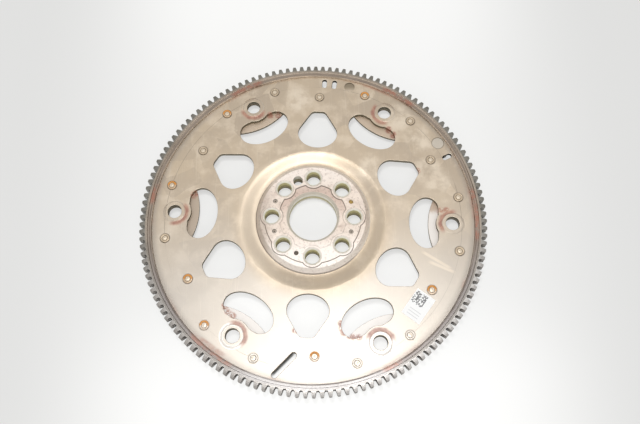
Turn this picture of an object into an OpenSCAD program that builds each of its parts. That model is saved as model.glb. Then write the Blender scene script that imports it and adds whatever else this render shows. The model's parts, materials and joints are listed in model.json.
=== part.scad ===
// Flexplate: a dished steel drive plate that carries a starter ring gear on its rim,
// a thick hub disc at its centre and a riveted backing ring on its underside.
// It lies flat, converter side up, with its axis on Z and its lowest face on Z = 0.

/* [Ring gear] */
// Outside diameter over the tooth tips
gear_od = 315.6; // [310:0.2:322]
// Number of starter teeth
tooth_count = 139; // [125:1:152]
// Pressure angle of the teeth, in degrees
pressure_angle = 12; // [10:0.5:16]
// Width of the gear along its axis
gear_width = 10; // [8.5:0.1:12]
// Wall of the gear from the plate's rim to the tooth roots
gear_wall = 5.6; // [4.8:0.1:6.4]
// Width of the ledge that the plate's rim sits on
gear_ledge_w = 1.4; // [1:0.1:1.8]
// Radial reach of the bevel on the tooth tips
tip_bevel_w = 3.0; // [1.5:0.1:3.6]
// Depth of that bevel along the axis
tip_bevel_h = 1.0; // [0.5:0.1:3]
// Width of the seam groove between the plate's rim and the gear's raised land
seam_w = 3.0; // [2:0.1:3.8]
// Depth of that groove below the gear's face
seam_h = 0.9; // [0.4:0.1:1.4]

/* [Drive plate] */
// Thickness of the plate's sheet
plate_t = 4.2; // [3.7:0.1:4.7]
// Height of the gear's face above the plate's flat
gear_rise = 3.2; // [2.6:0.1:3.8]
// Depth of the dish at the hub
dish_h = 3.4; // [2:0.1:4.4]
// From the hub's edge out to the foot of the dish
dish_gap = 1; // [0.5:0.1:2]
// Radial width of the dish's sloping wall
dish_w = 14; // [11:0.5:16]
// Step down from the plate's flat to its outer band
band_step = 0.3; // [0.1:0.05:0.6]

/* [Converter bolts] */
// From the plate's edge in to the torque converter's bolt circle
converter_inset = 20.16; // [18.6:0.02:22.2]
// Number of converter bolts, each with its own kidney window
converter_count = 6; // [4:1:6]
// Diameter of the converter bolt holes
converter_hole_d = 12.6; // [10:0.1:14]
// Angle of the first converter bolt from +X, in degrees
converter_turn = -4.1; // [-20:0.1:20]
// Diameter of the raised pad round each converter bolt
bolt_pad_d = 18.2; // [16:0.1:20]
// Height of that pad
bolt_pad_h = 0.6; // [0.3:0.1:1.2]
// How far the pad's sloping skirt spreads
pad_skirt = 2.4; // [1.6:0.1:3]

/* [Kidney windows] */
// Length of a kidney window across the radius
kidney_l = 48.4; // [44:0.2:50]
// Depth of a kidney window along the radius
kidney_h = 26.8; // [23:0.1:28]
// Radius of its ends, on the side of the bolts
kidney_end_r = 10.9; // [8:0.1:13]
// From the converter bolt circle in to the window's outer edge
kidney_offset = 12.6; // [11.6:0.1:14]
// Radius of the lug round the bolt, which swells into the window
lug_r = 14.9; // [14.2:0.1:16.5]

/* [Tapered windows] */
// Greatest width of a tapered window across the radius
taper_l = 37.2; // [32:0.2:40]
// Depth of a tapered window along the radius
taper_h = 38.2; // [34:0.1:39.5]
// Depth of its wide end, which is half an ellipse towards the hub
taper_wide_h = 14.8; // [12:0.1:17]
// Radius of its shoulders, beside the widest place
taper_shoulder_r = 12.3; // [9:0.1:14]
// Radius of its narrow end's corners
taper_corner_r = 5.6; // [4:0.1:7]
// Straight length of its narrow end
taper_flat_l = 6; // [3:0.1:9]
// From the converter bolt circle in to the window's narrow end
taper_offset = 18.3; // [17:0.1:20]

/* [Hub] */
// Diameter of the hub disc
hub_d = 105; // [103:0.5:107]
// Thickness of the hub disc, without its contact pad
hub_t = 6.4; // [5:0.1:8]
// Height of the contact pad round the crank bolts
contact_h = 0.5; // [0.2:0.1:0.9]
// Radius of the contact pad's petal round each crank bolt
petal_r = 9.9; // [9.4:0.1:10.6]
// From the crank bolt circle in to the contact pad's inner edge
contact_in = 6.3; // [4.5:0.1:7.5]
// From the crank bolt circle out to the contact pad's outer edge
contact_out = 6.3; // [5:0.1:7]
// Diameter of the centre bore
bore_d = 44; // [40:0.2:48]
// Width of the chamfer at the bore's mouth
bore_chamfer = 2; // [1:0.1:2.6]
// Radial width of the cone round the hub disc's top
hub_cone_w = 4.2; // [2:0.1:5]
// Height of the straight edge under that cone
hub_edge_h = 1; // [0.5:0.1:3]
// Diameter of the spacer under the plate, which meets the crankshaft's flange
spacer_d = 100; // [97:0.5:103]
// Thickness of that spacer
spacer_t = 3.4; // [2.8:0.1:4.2]

/* [Crank bolts] */
// Bolt circle of the crankshaft
crank_pcd = 75; // [73:0.5:77]
// Number of crank bolts
crank_count = 8; // [6:1:8]
// Diameter of the crank bolt holes
crank_hole_d = 13; // [11:0.1:14]
// Width of the chamfer on the crank bolt holes
crank_chamfer = 1.6; // [0.8:0.1:2]
// Angle of the first crank bolt from +X, in degrees
crank_turn = -2; // [-10:0.5:10]
// Diameter of the dowel hole
dowel_d = 9; // [7:0.1:10]
// Diameter of the pins that hold the hub's layers together
pin_d = 4; // [3:0.1:5]
// How far the pins stop below the contact pad
pin_sink = 1; // [0.4:0.1:2]

/* [Backing ring] */
// Thickness of the backing ring's sheet
backing_t = 3; // [2:0.1:3.5]
// From the plate's rim in to the backing ring's rim
backing_inset = 6; // [5:0.1:7]
// From the converter bolt circle in to the backing ring's inner edge
backing_offset = 14; // [11:0.1:16]
// From the converter bolt circle in to the crown of a lobe
lobe_offset = 21.7; // [19:0.1:23]
// Radius of a lobe
lobe_r = 62; // [50:0.5:70]

/* [Rivets] */
// Diameter of a rivet's head
rivet_head_d = 8.4; // [7.5:0.1:9.4]
// Height of a rivet's head
rivet_head_h = 0.8; // [0.5:0.1:1.4]
// Diameter of a rivet's shank
rivet_shank_d = 5.6; // [4.4:0.1:6.2]
// Diameter of the dimple in a rivet's head
rivet_dimple_d = 5; // [3.5:0.1:6]
// Depth of that dimple
rivet_dimple_h = 0.5; // [0.2:0.1:0.9]
// From the plate's rim in to the circle of the outer rivets
rivet_inset = 11.9; // [11:0.1:13]
// Angle of an outer rivet from its converter bolt, in degrees
rivet_spread = 10.95; // [9.5:0.05:13]
// From the converter bolt circle in to the circle of the inner rivets
inner_rivet_offset = 2.7; // [0:0.1:5]
// How far one inner rivet is turned to clear the long slot, in degrees
shifted_rivet_turn = 3.6; // [0:0.1:5]

/* [Slots and marks] */
// Width of the short radial slots
slot_w = 4.4; // [3.5:0.1:5]
// Length of the short radial slots
slot_l = 9.3; // [7.5:0.1:10]
// From the plate's rim in to the middle of the slots and marks
slot_inset = 7.3; // [6.6:0.1:8]
// Width of the long slot
long_slot_w = 5.4; // [4:0.1:6.5]
// From centre to centre of the long slot's round ends
long_slot_l = 22.5; // [18:0.1:24]
// From the plate's rim in to the middle of the long slot
long_slot_inset = 13.7; // [12.7:0.1:15]
// Diameter of the blind dimple in the outer band
dimple_d = 10.2; // [8:0.1:11.5]
// Depth of that dimple
dimple_h = 0.8; // [0.4:0.1:1.2]
// Diameter of the flat punch mark in the outer band
punch_d = 11.7; // [9:0.1:12.5]
// Depth of that mark
punch_h = 0.25; // [0.1:0.05:0.5]

/* [Hidden] */
$fn = 180;

// Clearance of the pieces that are pressed or slid into each other
fit_clear = 0.05;
// Overlap of a cutting tool past the faces it cuts
over = 1;
// Points on each arc of a window's outline, and on the dish's curve
arc_steps = 14;
dish_steps = 14;

// Gear sizes, from the outside diameter and the tooth count
gear_module = gear_od / (tooth_count + 2);
tip_r = gear_od / 2;
pitch_r = gear_module * tooth_count / 2;
root_r = pitch_r - 1.25 * gear_module;
base_r = pitch_r * cos(pressure_angle);
root_fillet = 0.25 * gear_module;
// A tooth's middle stands at this angle
tooth_turn = 87.8;

// Radii
plate_r = root_r - gear_wall;
hub_r = hub_d / 2;
converter_r = plate_r - converter_inset;
crank_r = crank_pcd / 2;
rivet_r = plate_r - rivet_inset;
inner_rivet_r = converter_r - inner_rivet_offset;
slot_r = plate_r - slot_inset;
long_slot_r = plate_r - long_slot_inset;
dish_start_r = hub_r + dish_gap;
dish_end_r = dish_start_r + dish_w;

// Heights
seat_z = spacer_t + dish_h;
plate_top_z = seat_z + plate_t;
gear_top_z = plate_top_z + gear_rise;
gear_z = gear_top_z - gear_width;
hub_z = spacer_t + plate_t;
contact_z = hub_z + hub_t;
hub_top_z = contact_z + contact_h;
backing_z = seat_z - backing_t;

// Places between two crank bolts: the dowel hole's, the bare ones, and those that hold a pin
dowel_place = 2;
bare_places = [1, 6];
pin_places = [for (i = [0 : crank_count - 1])
    if (i != dowel_place && len(search(i, bare_places)) == 0) i];

// Angles of the repeats
converter_angles = [for (i = [0 : converter_count - 1]) converter_turn + i * 360 / converter_count];
between_angles = [for (a = converter_angles) a + 180 / converter_count];
crank_angles = [for (i = [0 : crank_count - 1]) crank_turn + i * 360 / crank_count];
mid_crank_angles = [for (a = crank_angles) a + 180 / crank_count];
// Angles of the short slots, the long slot and its own turn, the dimple and the punch mark
slot_angles = [84.2, 80.2, 24.2];
long_slot_angle = -101.7;
long_slot_turn = 43.6;
dimple_angle = 74;
punch_angle = 30.8;
// An inner rivet that comes near the long slot makes room for it
function turn_between(a, b) = abs((a - b + 540) % 360 - 180);
inner_rivet_angles = [for (a = between_angles)
    a + (turn_between(a, long_slot_angle) < 12 ? shifted_rivet_turn : 0)];

// Points of an arc about a centre, from one angle to another; rx and ry make it elliptical
function arc(c, rx, ry, a0, a1, n = arc_steps) =
    [for (i = [0 : n]) c + [rx * cos(a0 + (a1 - a0) * i / n), ry * sin(a0 + (a1 - a0) * i / n)]];

// The other half of an outline, mirrored in the Y axis
function mirrored(half) = [for (i = [len(half) - 1 : -1 : 0]) [-half[i][0], half[i][1]]];

// Outline of a kidney window on the +Y radius: half an ellipse towards the hub, and a round end
// on each side towards the bolt
kidney_out_y = converter_r - kidney_offset;
kidney_wide_y = kidney_out_y - kidney_end_r;
kidney_half = concat(
    arc([0, kidney_wide_y], kidney_l / 2, kidney_h - kidney_end_r, -90, 0, 2 * arc_steps),
    arc([kidney_l / 2 - kidney_end_r, kidney_wide_y], kidney_end_r, kidney_end_r, 0, 90));

// Outline of a tapered window on the +Y radius: half an ellipse towards the hub, round shoulders,
// and straight sides that close in on two small corners
taper_out_y = converter_r - taper_offset;
taper_wide_y = taper_out_y - taper_h + taper_wide_h;
taper_shoulder = [taper_l / 2 - taper_shoulder_r, taper_wide_y];
taper_corner = [taper_flat_l / 2, taper_out_y - taper_corner_r];
taper_run = taper_corner - taper_shoulder;
taper_lean = atan2(taper_run[1], taper_run[0])
             - acos((taper_shoulder_r - taper_corner_r) / norm(taper_run));
taper_half = concat(
    arc([0, taper_wide_y], taper_l / 2, taper_wide_h, -90, 0, 2 * arc_steps),
    arc(taper_shoulder, taper_shoulder_r, taper_shoulder_r, 0, taper_lean),
    arc(taper_corner, taper_corner_r, taper_corner_r, taper_lean, 90));

module at_angle(a, r) {
    rotate(a) translate([r, 0, 0]) children();
}

module kidney_window() {
    difference() {
        rotate(-90) polygon(concat(kidney_half, mirrored(kidney_half)));
        translate([converter_r, 0]) circle(lug_r);
    }
}

module tapered_window() {
    rotate(-90) polygon(concat(taper_half, mirrored(taper_half)));
}

// Slot with round ends, its middle at the origin
module slot(l, w) {
    square([l, w], center = true);
    for (x = [-l / 2, l / 2]) translate([x, 0]) circle(d = w);
}

// The slots that go through the plate and the backing ring alike
module slots() {
    for (a = slot_angles) at_angle(a, slot_r) slot(slot_l - slot_w, slot_w);
    rotate(long_slot_angle) translate([long_slot_r, 0])
        rotate(long_slot_turn - long_slot_angle) slot(long_slot_l, long_slot_w);
}

module rivet_places() {
    for (a = converter_angles, s = [-1, 1]) at_angle(a + s * rivet_spread, rivet_r) children();
    for (a = inner_rivet_angles) at_angle(a, inner_rivet_r) children();
}

module pin_places_at() {
    for (i = pin_places) at_angle(mid_crank_angles[i], crank_r) children();
}

// The holes that go right through the hub's three layers
module hub_holes() {
    translate([0, 0, -over]) {
        cylinder(h = hub_top_z + 2 * over, d = bore_d);
        for (a = crank_angles) at_angle(a, crank_r) cylinder(h = hub_top_z + 2 * over, d = crank_hole_d);
        at_angle(mid_crank_angles[dowel_place], crank_r) cylinder(h = hub_top_z + 2 * over, d = dowel_d);
        pin_places_at() cylinder(h = hub_top_z + 2 * over, d = pin_d + 2 * fit_clear);
    }
}

// Height of the plate's underside, which dips to the hub in a smooth slope
function dish_z(r) =
    let (s = max(0, min(1, (r - dish_start_r) / dish_w)))
    seat_z - dish_h * (1 - s * s * (3 - 2 * s));
dish_radii = [for (i = [0 : dish_steps]) dish_start_r + dish_w * i / dish_steps];

module drive_plate() {
    lower = concat([[0, spacer_t]], [for (r = dish_radii) [r, dish_z(r)]], [[plate_r, seat_z]]);
    upper = concat([[plate_r, plate_top_z - band_step], [rivet_r, plate_top_z - band_step],
                    [rivet_r, plate_top_z]],
                   [for (i = [dish_steps : -1 : 0]) [dish_radii[i], dish_z(dish_radii[i]) + plate_t]],
                   [[0, hub_z]]);
    color("tan") difference() {
        union() {
            rotate_extrude() polygon(concat(lower, upper));
            for (a = converter_angles) at_angle(a, converter_r) translate([0, 0, plate_top_z - 2 * band_step])
                cylinder(h = bolt_pad_h + 2 * band_step, d1 = bolt_pad_d + 2 * pad_skirt, d2 = bolt_pad_d);
        }
        translate([0, 0, -over]) linear_extrude(plate_top_z + 2 * over) {
            for (a = converter_angles) rotate(a) kidney_window();
            for (a = between_angles) rotate(a) tapered_window();
            slots();
        }
        translate([0, 0, -over]) {
            for (a = converter_angles) at_angle(a, converter_r)
                cylinder(h = plate_top_z + bolt_pad_h + 2 * over, d = converter_hole_d);
            rivet_places() cylinder(h = plate_top_z + 2 * over, d = rivet_shank_d + 2 * fit_clear);
        }
        at_angle(dimple_angle, slot_r) translate([0, 0, plate_top_z - band_step - dimple_h])
            cylinder(h = dimple_h + over, d = dimple_d);
        at_angle(punch_angle, slot_r) translate([0, 0, plate_top_z - band_step - punch_h])
            cylinder(h = punch_h + over, d = punch_d);
        hub_holes();
    }
}

module backing_ring() {
    backing_r = plate_r - backing_inset;
    color("darkkhaki") translate([0, 0, backing_z]) difference() {
        linear_extrude(backing_t) difference() {
            union() {
                difference() {
                    circle(backing_r);
                    circle(converter_r - backing_offset);
                }
                intersection() {
                    circle(backing_r);
                    for (a = converter_angles) at_angle(a, converter_r - lobe_offset + lobe_r) circle(lobe_r);
                }
            }
            slots();
        }
        translate([0, 0, -over]) {
            for (a = converter_angles) at_angle(a, converter_r)
                cylinder(h = backing_t + 2 * over, d = converter_hole_d);
            rivet_places() cylinder(h = backing_t + 2 * over, d = rivet_shank_d + 2 * fit_clear);
        }
    }
}

// Half the angle that a tooth fills at a radius, on an involute flank
function involute(a) = tan(a) * 180 / PI - a;
function half_tooth(r) =
    90 / tooth_count + involute(pressure_angle) - involute(acos(base_r / r));

// One tooth from root to tip and back, with a slanted corner at each root
function polar(r, a) = r * [cos(a), sin(a)];
function tooth(a) =
    let (start_r = root_r + root_fillet,
         mid_r = (start_r + tip_r) / 2,
         foot = half_tooth(start_r) + root_fillet / root_r * 180 / PI,
         side = [[root_r, foot], [start_r, half_tooth(start_r)], [mid_r, half_tooth(mid_r)],
                 [tip_r, half_tooth(tip_r)]])
    concat([for (p = side) polar(p[0], a - p[1])],
           [for (i = [3 : -1 : 0]) polar(side[i][0], a + side[i][1])]);

module ring_gear() {
    bore_r = plate_r + fit_clear;
    land_r = bore_r + seam_w;
    bevel_slope = tip_bevel_h / tip_bevel_w;
    color("dimgray") intersection() {
        translate([0, 0, gear_z - over]) linear_extrude(gear_width + 2 * over)
            polygon([for (i = [0 : tooth_count - 1]) each tooth(tooth_turn + i * 360 / tooth_count)]);
        rotate_extrude() polygon([[plate_r - gear_ledge_w, gear_z], [tip_r + over, gear_z],
            [tip_r + over, gear_top_z - tip_bevel_h - over * bevel_slope],
            [tip_r - tip_bevel_w, gear_top_z], [land_r + seam_h / 2, gear_top_z],
            [land_r, gear_top_z - seam_h], [bore_r, gear_top_z - seam_h],
            [bore_r, seat_z], [plate_r - gear_ledge_w, seat_z]]);
    }
}

module hub_disc() {
    color("rosybrown") difference() {
        union() {
            rotate_extrude() polygon([[0, hub_z], [hub_r, hub_z], [hub_r, hub_z + hub_edge_h],
                                      [hub_r - hub_cone_w, contact_z], [0, contact_z]]);
            translate([0, 0, contact_z - hub_t / 2]) linear_extrude(hub_t / 2 + contact_h) {
                difference() {
                    circle(crank_r + contact_out);
                    circle(crank_r - contact_in);
                }
                for (a = crank_angles) at_angle(a, crank_r) circle(petal_r);
            }
        }
        hub_holes();
        translate([0, 0, contact_z - bore_chamfer])
            cylinder(h = bore_chamfer + over, d1 = bore_d, d2 = bore_d + 2 * (bore_chamfer + over));
        for (a = crank_angles) at_angle(a, crank_r) translate([0, 0, hub_top_z - crank_chamfer])
            cylinder(h = crank_chamfer + over, d1 = crank_hole_d,
                     d2 = crank_hole_d + 2 * (crank_chamfer + over));
    }
}

module crank_spacer() {
    color("gray") difference() {
        cylinder(h = spacer_t, d = spacer_d);
        hub_holes();
    }
}

// Rivets through the plate and the backing ring, with a dimpled head on each side
module plate_rivets() {
    head_r = rivet_head_d / 2;
    shank_r = rivet_shank_d / 2;
    dimple_r = rivet_dimple_d / 2;
    edge = rivet_head_h / 2;
    top = plate_top_z + rivet_head_h;
    foot = backing_z - rivet_head_h;
    color("darkgray") rivet_places() rotate_extrude($fn = 48) polygon([
        [0, foot], [head_r - edge, foot], [head_r, foot + edge], [head_r, backing_z],
        [shank_r, backing_z], [shank_r, plate_top_z],
        [head_r, plate_top_z], [head_r, top - edge], [head_r - edge, top],
        [dimple_r, top], [dimple_r - rivet_dimple_h, top - rivet_dimple_h], [0, top - rivet_dimple_h]]);
}

module hub_pins() {
    color("lightgray") pin_places_at() cylinder(h = hub_top_z - pin_sink, d = pin_d, $fn = 48);
}

drive_plate();
backing_ring();
ring_gear();
hub_disc();
crank_spacer();
plate_rivets();
hub_pins();
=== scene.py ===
import json
import math

import bmesh
import bpy
from mathutils import Matrix, Vector


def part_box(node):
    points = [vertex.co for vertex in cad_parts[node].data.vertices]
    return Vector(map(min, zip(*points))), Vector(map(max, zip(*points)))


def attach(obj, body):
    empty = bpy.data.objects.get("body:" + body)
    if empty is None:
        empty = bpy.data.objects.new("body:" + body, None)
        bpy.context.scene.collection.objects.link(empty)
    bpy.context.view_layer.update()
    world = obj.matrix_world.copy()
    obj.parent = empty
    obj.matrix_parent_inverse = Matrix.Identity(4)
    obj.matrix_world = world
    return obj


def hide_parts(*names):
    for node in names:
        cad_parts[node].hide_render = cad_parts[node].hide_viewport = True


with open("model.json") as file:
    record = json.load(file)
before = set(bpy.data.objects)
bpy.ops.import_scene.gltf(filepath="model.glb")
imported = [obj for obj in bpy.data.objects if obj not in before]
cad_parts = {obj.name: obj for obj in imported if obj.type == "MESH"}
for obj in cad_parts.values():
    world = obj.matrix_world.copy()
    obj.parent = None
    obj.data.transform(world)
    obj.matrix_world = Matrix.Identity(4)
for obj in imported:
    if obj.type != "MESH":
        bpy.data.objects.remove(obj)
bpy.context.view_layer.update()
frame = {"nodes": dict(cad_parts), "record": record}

bl_info = {
    "name": "Flexplate",
    "version": (1, 0, 0),
    "blender": (4, 5, 0),
    "location": "3D View > Sidebar > Flexplate",
    "description": "Dresses a flexplate with worn steel, rust, a toothed rim, rivets and a label",
    "category": "Object",
}

MM = 0.001

# Heights, radii and turns of the solids that the pieces and the finishes follow
MOUNTS = {m["name"]: m for m in frame["record"]["mounts"]}
CONVERTER_R = MOUNTS["converter_bolts"]["dims"]["pcd_mm"] * MM / 2
CONVERTER_COUNT = MOUNTS["converter_bolts"]["dims"]["count"]
CRANK_R = MOUNTS["crank_bolts"]["dims"]["pcd_mm"] * MM / 2
PLATE_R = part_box("drive_plate")[1].x
PAD_RISE = 0.6 * MM
PLATE_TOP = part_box("drive_plate")[1].z - PAD_RISE
BACKING_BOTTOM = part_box("backing_ring")[0].z
BACKING_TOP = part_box("backing_ring")[1].z
HUB_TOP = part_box("hub_disc")[1].z
HUB_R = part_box("hub_disc")[1].x
# Half the width of the hub's contact pad, and the radius of its petals
PAD_W, PETAL_R = 6.3 * MM, 9.9 * MM
GEAR_TIP_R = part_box("ring_gear")[1].y
GEAR_BOTTOM, GEAR_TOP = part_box("ring_gear")[0].z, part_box("ring_gear")[1].z
CONVERTER_TURN = math.radians(-4.1)
CRANK_TURN = math.radians(-2)
CRANK_COUNT = MOUNTS["crank_bolts"]["dims"]["count"]
BORE_R = MOUNTS["crank_pilot"]["dims"]["r_mm"] * MM
RIVET_R = PLATE_R - 11.9 * MM
RIVET_SPREAD = math.radians(10.95)
INNER_RIVET_R = CONVERTER_R - 2.7 * MM
SHIFTED_RIVET, SHIFTED_RIVET_TURN = 4, math.radians(3.6)
GEAR_TURN, PRESSURE_ANGLE = math.radians(87.8), math.radians(12)
# Turns of the rusty rivets and of the hub's pins, in degrees
RUSTY_RIVETS = (67.1, -34.2, -90.5, -135.1, 205.8, 164.9, 127.1)
PIN_TURNS = (20.5, 155.5, 200.5, 245.5, 335.5)
# Places (x, y in millimetres) of the pin that has gone yellow, the dark pin and the label
YELLOW_PIN, DARK_PIN, LABEL_PLACE = (35.1, 13.1), (-15.6, -34.1), (90.0, -83.7)
LABEL_TURN = math.radians(-38)
# Places (x, y in millimetres) where the edge of a window has rusted
RUSTY_EDGES = ((74.5, 87.8), (78.5, 82.2), (98.6, 43.6), (117, 4), (122, 4), (-39.5, 106.6), (-31.9, 106.8),
               (-110.4, 25.6), (-107.6, 27.6), (-78.6, -79.4), (-75.5, -84.1), (-71.5, -86.9), (-17, -101.9),
               (22.5, -97), (23, -101.4), (24.4, -104.8), (29.4, -107.6), (33, -108.6), (37.2, -108.6))
# Ends of the rusty stretch along the plate's rim
RUSTY_RIM = (-99, -107), (-78, -122)
# Places of the dimple and of the punch mark in the outer band
DIMPLE, PUNCH_MARK = (38.6, 134.5), (120.1, 71.6)
# Middles of the short slots
SLOTS = (14.1, 139.1), (23.8, 137.8), (127.6, 57.3)
# The strip of floor below the long slot, where a shadow is painted
SLOT_FLOOR = (-38.5, -136.8), (-19.5, -118.8)
# Places that are rubbed pale, and the ends of the scuffs that run across the plate
PALE_SPOTS = ((116, 32), (108, 42), (85, 100), (102, 75), (-12, 122), (56, 46))
SCUFFS = (((97.8, -35.2), (120.6, -50.5)), ((103.3, -44.5), (123.8, -54.2)))
# Places where the seam of the ring gear has rusted
RUSTY_SEAM = ((79, 126), (95, 117), (149, 14), (149, -1), (148, -17), (-70, 133), (-56, 139), (-147, 26),
              (-100, -109), (-89, -118), (-79, -125), (63, -132))

# The camera's place, lean, roll and lens shift, fitted to the photograph
CAMERA_PLACE = (0.00646, -0.22571, 0.65946)
CAMERA_LEAN, CAMERA_ROLL, CAMERA_SHIFT = 0.41020, -0.02498, (0.00213, -0.08)
SENSOR_WIDTH = 36
# The key light hangs straight above its aim; the plate's near part mirrors it
KEY_X, KEY_Y, KEY_Z, KEY_SIZE = 0.023, -0.064, 0.95, (0.360, 0.377)
FLOOR_REACH = 6


# Settings that a user would change

COLOUR = {"subtype": "COLOR", "size": 3, "min": 0, "max": 1}


class PlateSettings(bpy.types.PropertyGroup):
    steel: bpy.props.FloatVectorProperty(
        name="Steel", description="Main colour of the plate's worn steel",
        **COLOUR, default=(0.580, 0.460, 0.320))
    pale: bpy.props.FloatVectorProperty(
        name="Pale patches", description="Colour of the rubbed patches",
        **COLOUR, default=(0.740, 0.615, 0.465))
    stain: bpy.props.FloatVectorProperty(
        name="Stains", description="Colour of the dull stains", **COLOUR, default=(0.490, 0.390, 0.280))
    rust: bpy.props.FloatVectorProperty(
        name="Rust", description="Colour of the rust round the bolt pads and on the windows' edges",
        **COLOUR, default=(0.360, 0.125, 0.080))
    edge: bpy.props.FloatProperty(
        name="Edge", description="Width of the broken edges", unit="LENGTH",
        min=0.0, max=0.001, default=0.4 * MM)


class GearSettings(bpy.types.PropertyGroup):
    teeth: bpy.props.IntProperty(
        name="Teeth", description="Number of starter teeth", min=60, max=200, default=139)
    steel: bpy.props.FloatVectorProperty(
        name="Steel", description="Colour of the hardened teeth", **COLOUR, default=(0.290, 0.275, 0.240))
    land: bpy.props.FloatVectorProperty(
        name="Land", description="Colour of the flat land inside the teeth",
        **COLOUR, default=(0.450, 0.380, 0.310))
    rust: bpy.props.FloatVectorProperty(
        name="Rust", description="Colour of the rust in the seam", **COLOUR, default=(0.440, 0.200, 0.140))


class HubSettings(bpy.types.PropertyGroup):
    steel: bpy.props.FloatVectorProperty(
        name="Steel", description="Colour of the hub's machined steel",
        **COLOUR, default=(0.850, 0.735, 0.635))
    stain: bpy.props.FloatVectorProperty(
        name="Stain", description="Colour of the stains in the hub's recess",
        **COLOUR, default=(0.540, 0.385, 0.315))
    edge: bpy.props.FloatProperty(
        name="Edge", description="Width of the broken edges", unit="LENGTH",
        min=0.0, max=0.001, default=0.2 * MM)


class RivetSettings(bpy.types.PropertyGroup):
    head: bpy.props.FloatProperty(
        name="Head", description="Diameter of a rivet's head", unit="LENGTH",
        min=0.006, max=0.0095, default=8.4 * MM)
    head_h: bpy.props.FloatProperty(
        name="Head height", description="Height of a rivet's head", unit="LENGTH",
        min=0.0004, max=0.0014, default=0.8 * MM)
    dimple: bpy.props.FloatProperty(
        name="Dimple", description="Diameter of the dimple in a rivet's head", unit="LENGTH",
        min=0.003, max=0.006, default=5 * MM)
    steel: bpy.props.FloatVectorProperty(
        name="Steel", description="Colour of a clean rivet", **COLOUR, default=(0.560, 0.450, 0.325))
    rust: bpy.props.FloatVectorProperty(
        name="Rust", description="Colour of the fresh rust on the rivets",
        **COLOUR, default=(0.700, 0.270, 0.045))


class LabelSettings(bpy.types.PropertyGroup):
    width: bpy.props.FloatProperty(
        name="Width", description="Short side of the label", unit="LENGTH",
        min=0.01, max=0.03, default=18.5 * MM)
    length: bpy.props.FloatProperty(
        name="Length", description="Long side of the label", unit="LENGTH",
        min=0.015, max=0.04, default=26 * MM)
    paper: bpy.props.FloatVectorProperty(
        name="Paper", description="Colour of the label", **COLOUR, default=(0.930, 0.930, 0.920))


class StageSettings(bpy.types.PropertyGroup):
    floor: bpy.props.FloatVectorProperty(
        name="Floor", description="Colour of the floor", **COLOUR, default=(0.840, 0.840, 0.830))
    key: bpy.props.FloatProperty(
        name="Key light", description="Power of the soft light above the plate", unit="POWER",
        min=0, max=100, default=2.0)
    back: bpy.props.FloatProperty(
        name="Back light", description="Power of the light behind the plate", unit="POWER",
        min=0, max=100, default=13)
    front: bpy.props.FloatProperty(
        name="Front light", description="Power of the light in front of the plate", unit="POWER",
        min=0, max=100, default=1.8)
    lens: bpy.props.FloatProperty(
        name="Lens", description="Focal length of the camera", unit="CAMERA", min=10, max=200, default=42.19)


# Node helpers

def feed(tree, socket, value):
    """Links a socket to an input, or sets the input to a value."""
    if isinstance(value, bpy.types.NodeSocket):
        tree.links.new(value, socket)
    elif socket.type == "RGBA":
        socket.default_value = (*tuple(value)[:3], 1)
    else:
        socket.default_value = value


def add_node(tree, kind, **inputs):
    """A new node with the named inputs fed; an underscore stands for a space in a name."""
    node = tree.nodes.new(kind)
    for name, value in inputs.items():
        feed(tree, node.inputs[name.replace("_", " ")], value)
    return node


def add_math(tree, operation, *values):
    node = tree.nodes.new("ShaderNodeMath")
    node.operation = operation
    for socket, value in zip(node.inputs, values):
        feed(tree, socket, value)
    return node.outputs[0]


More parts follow.
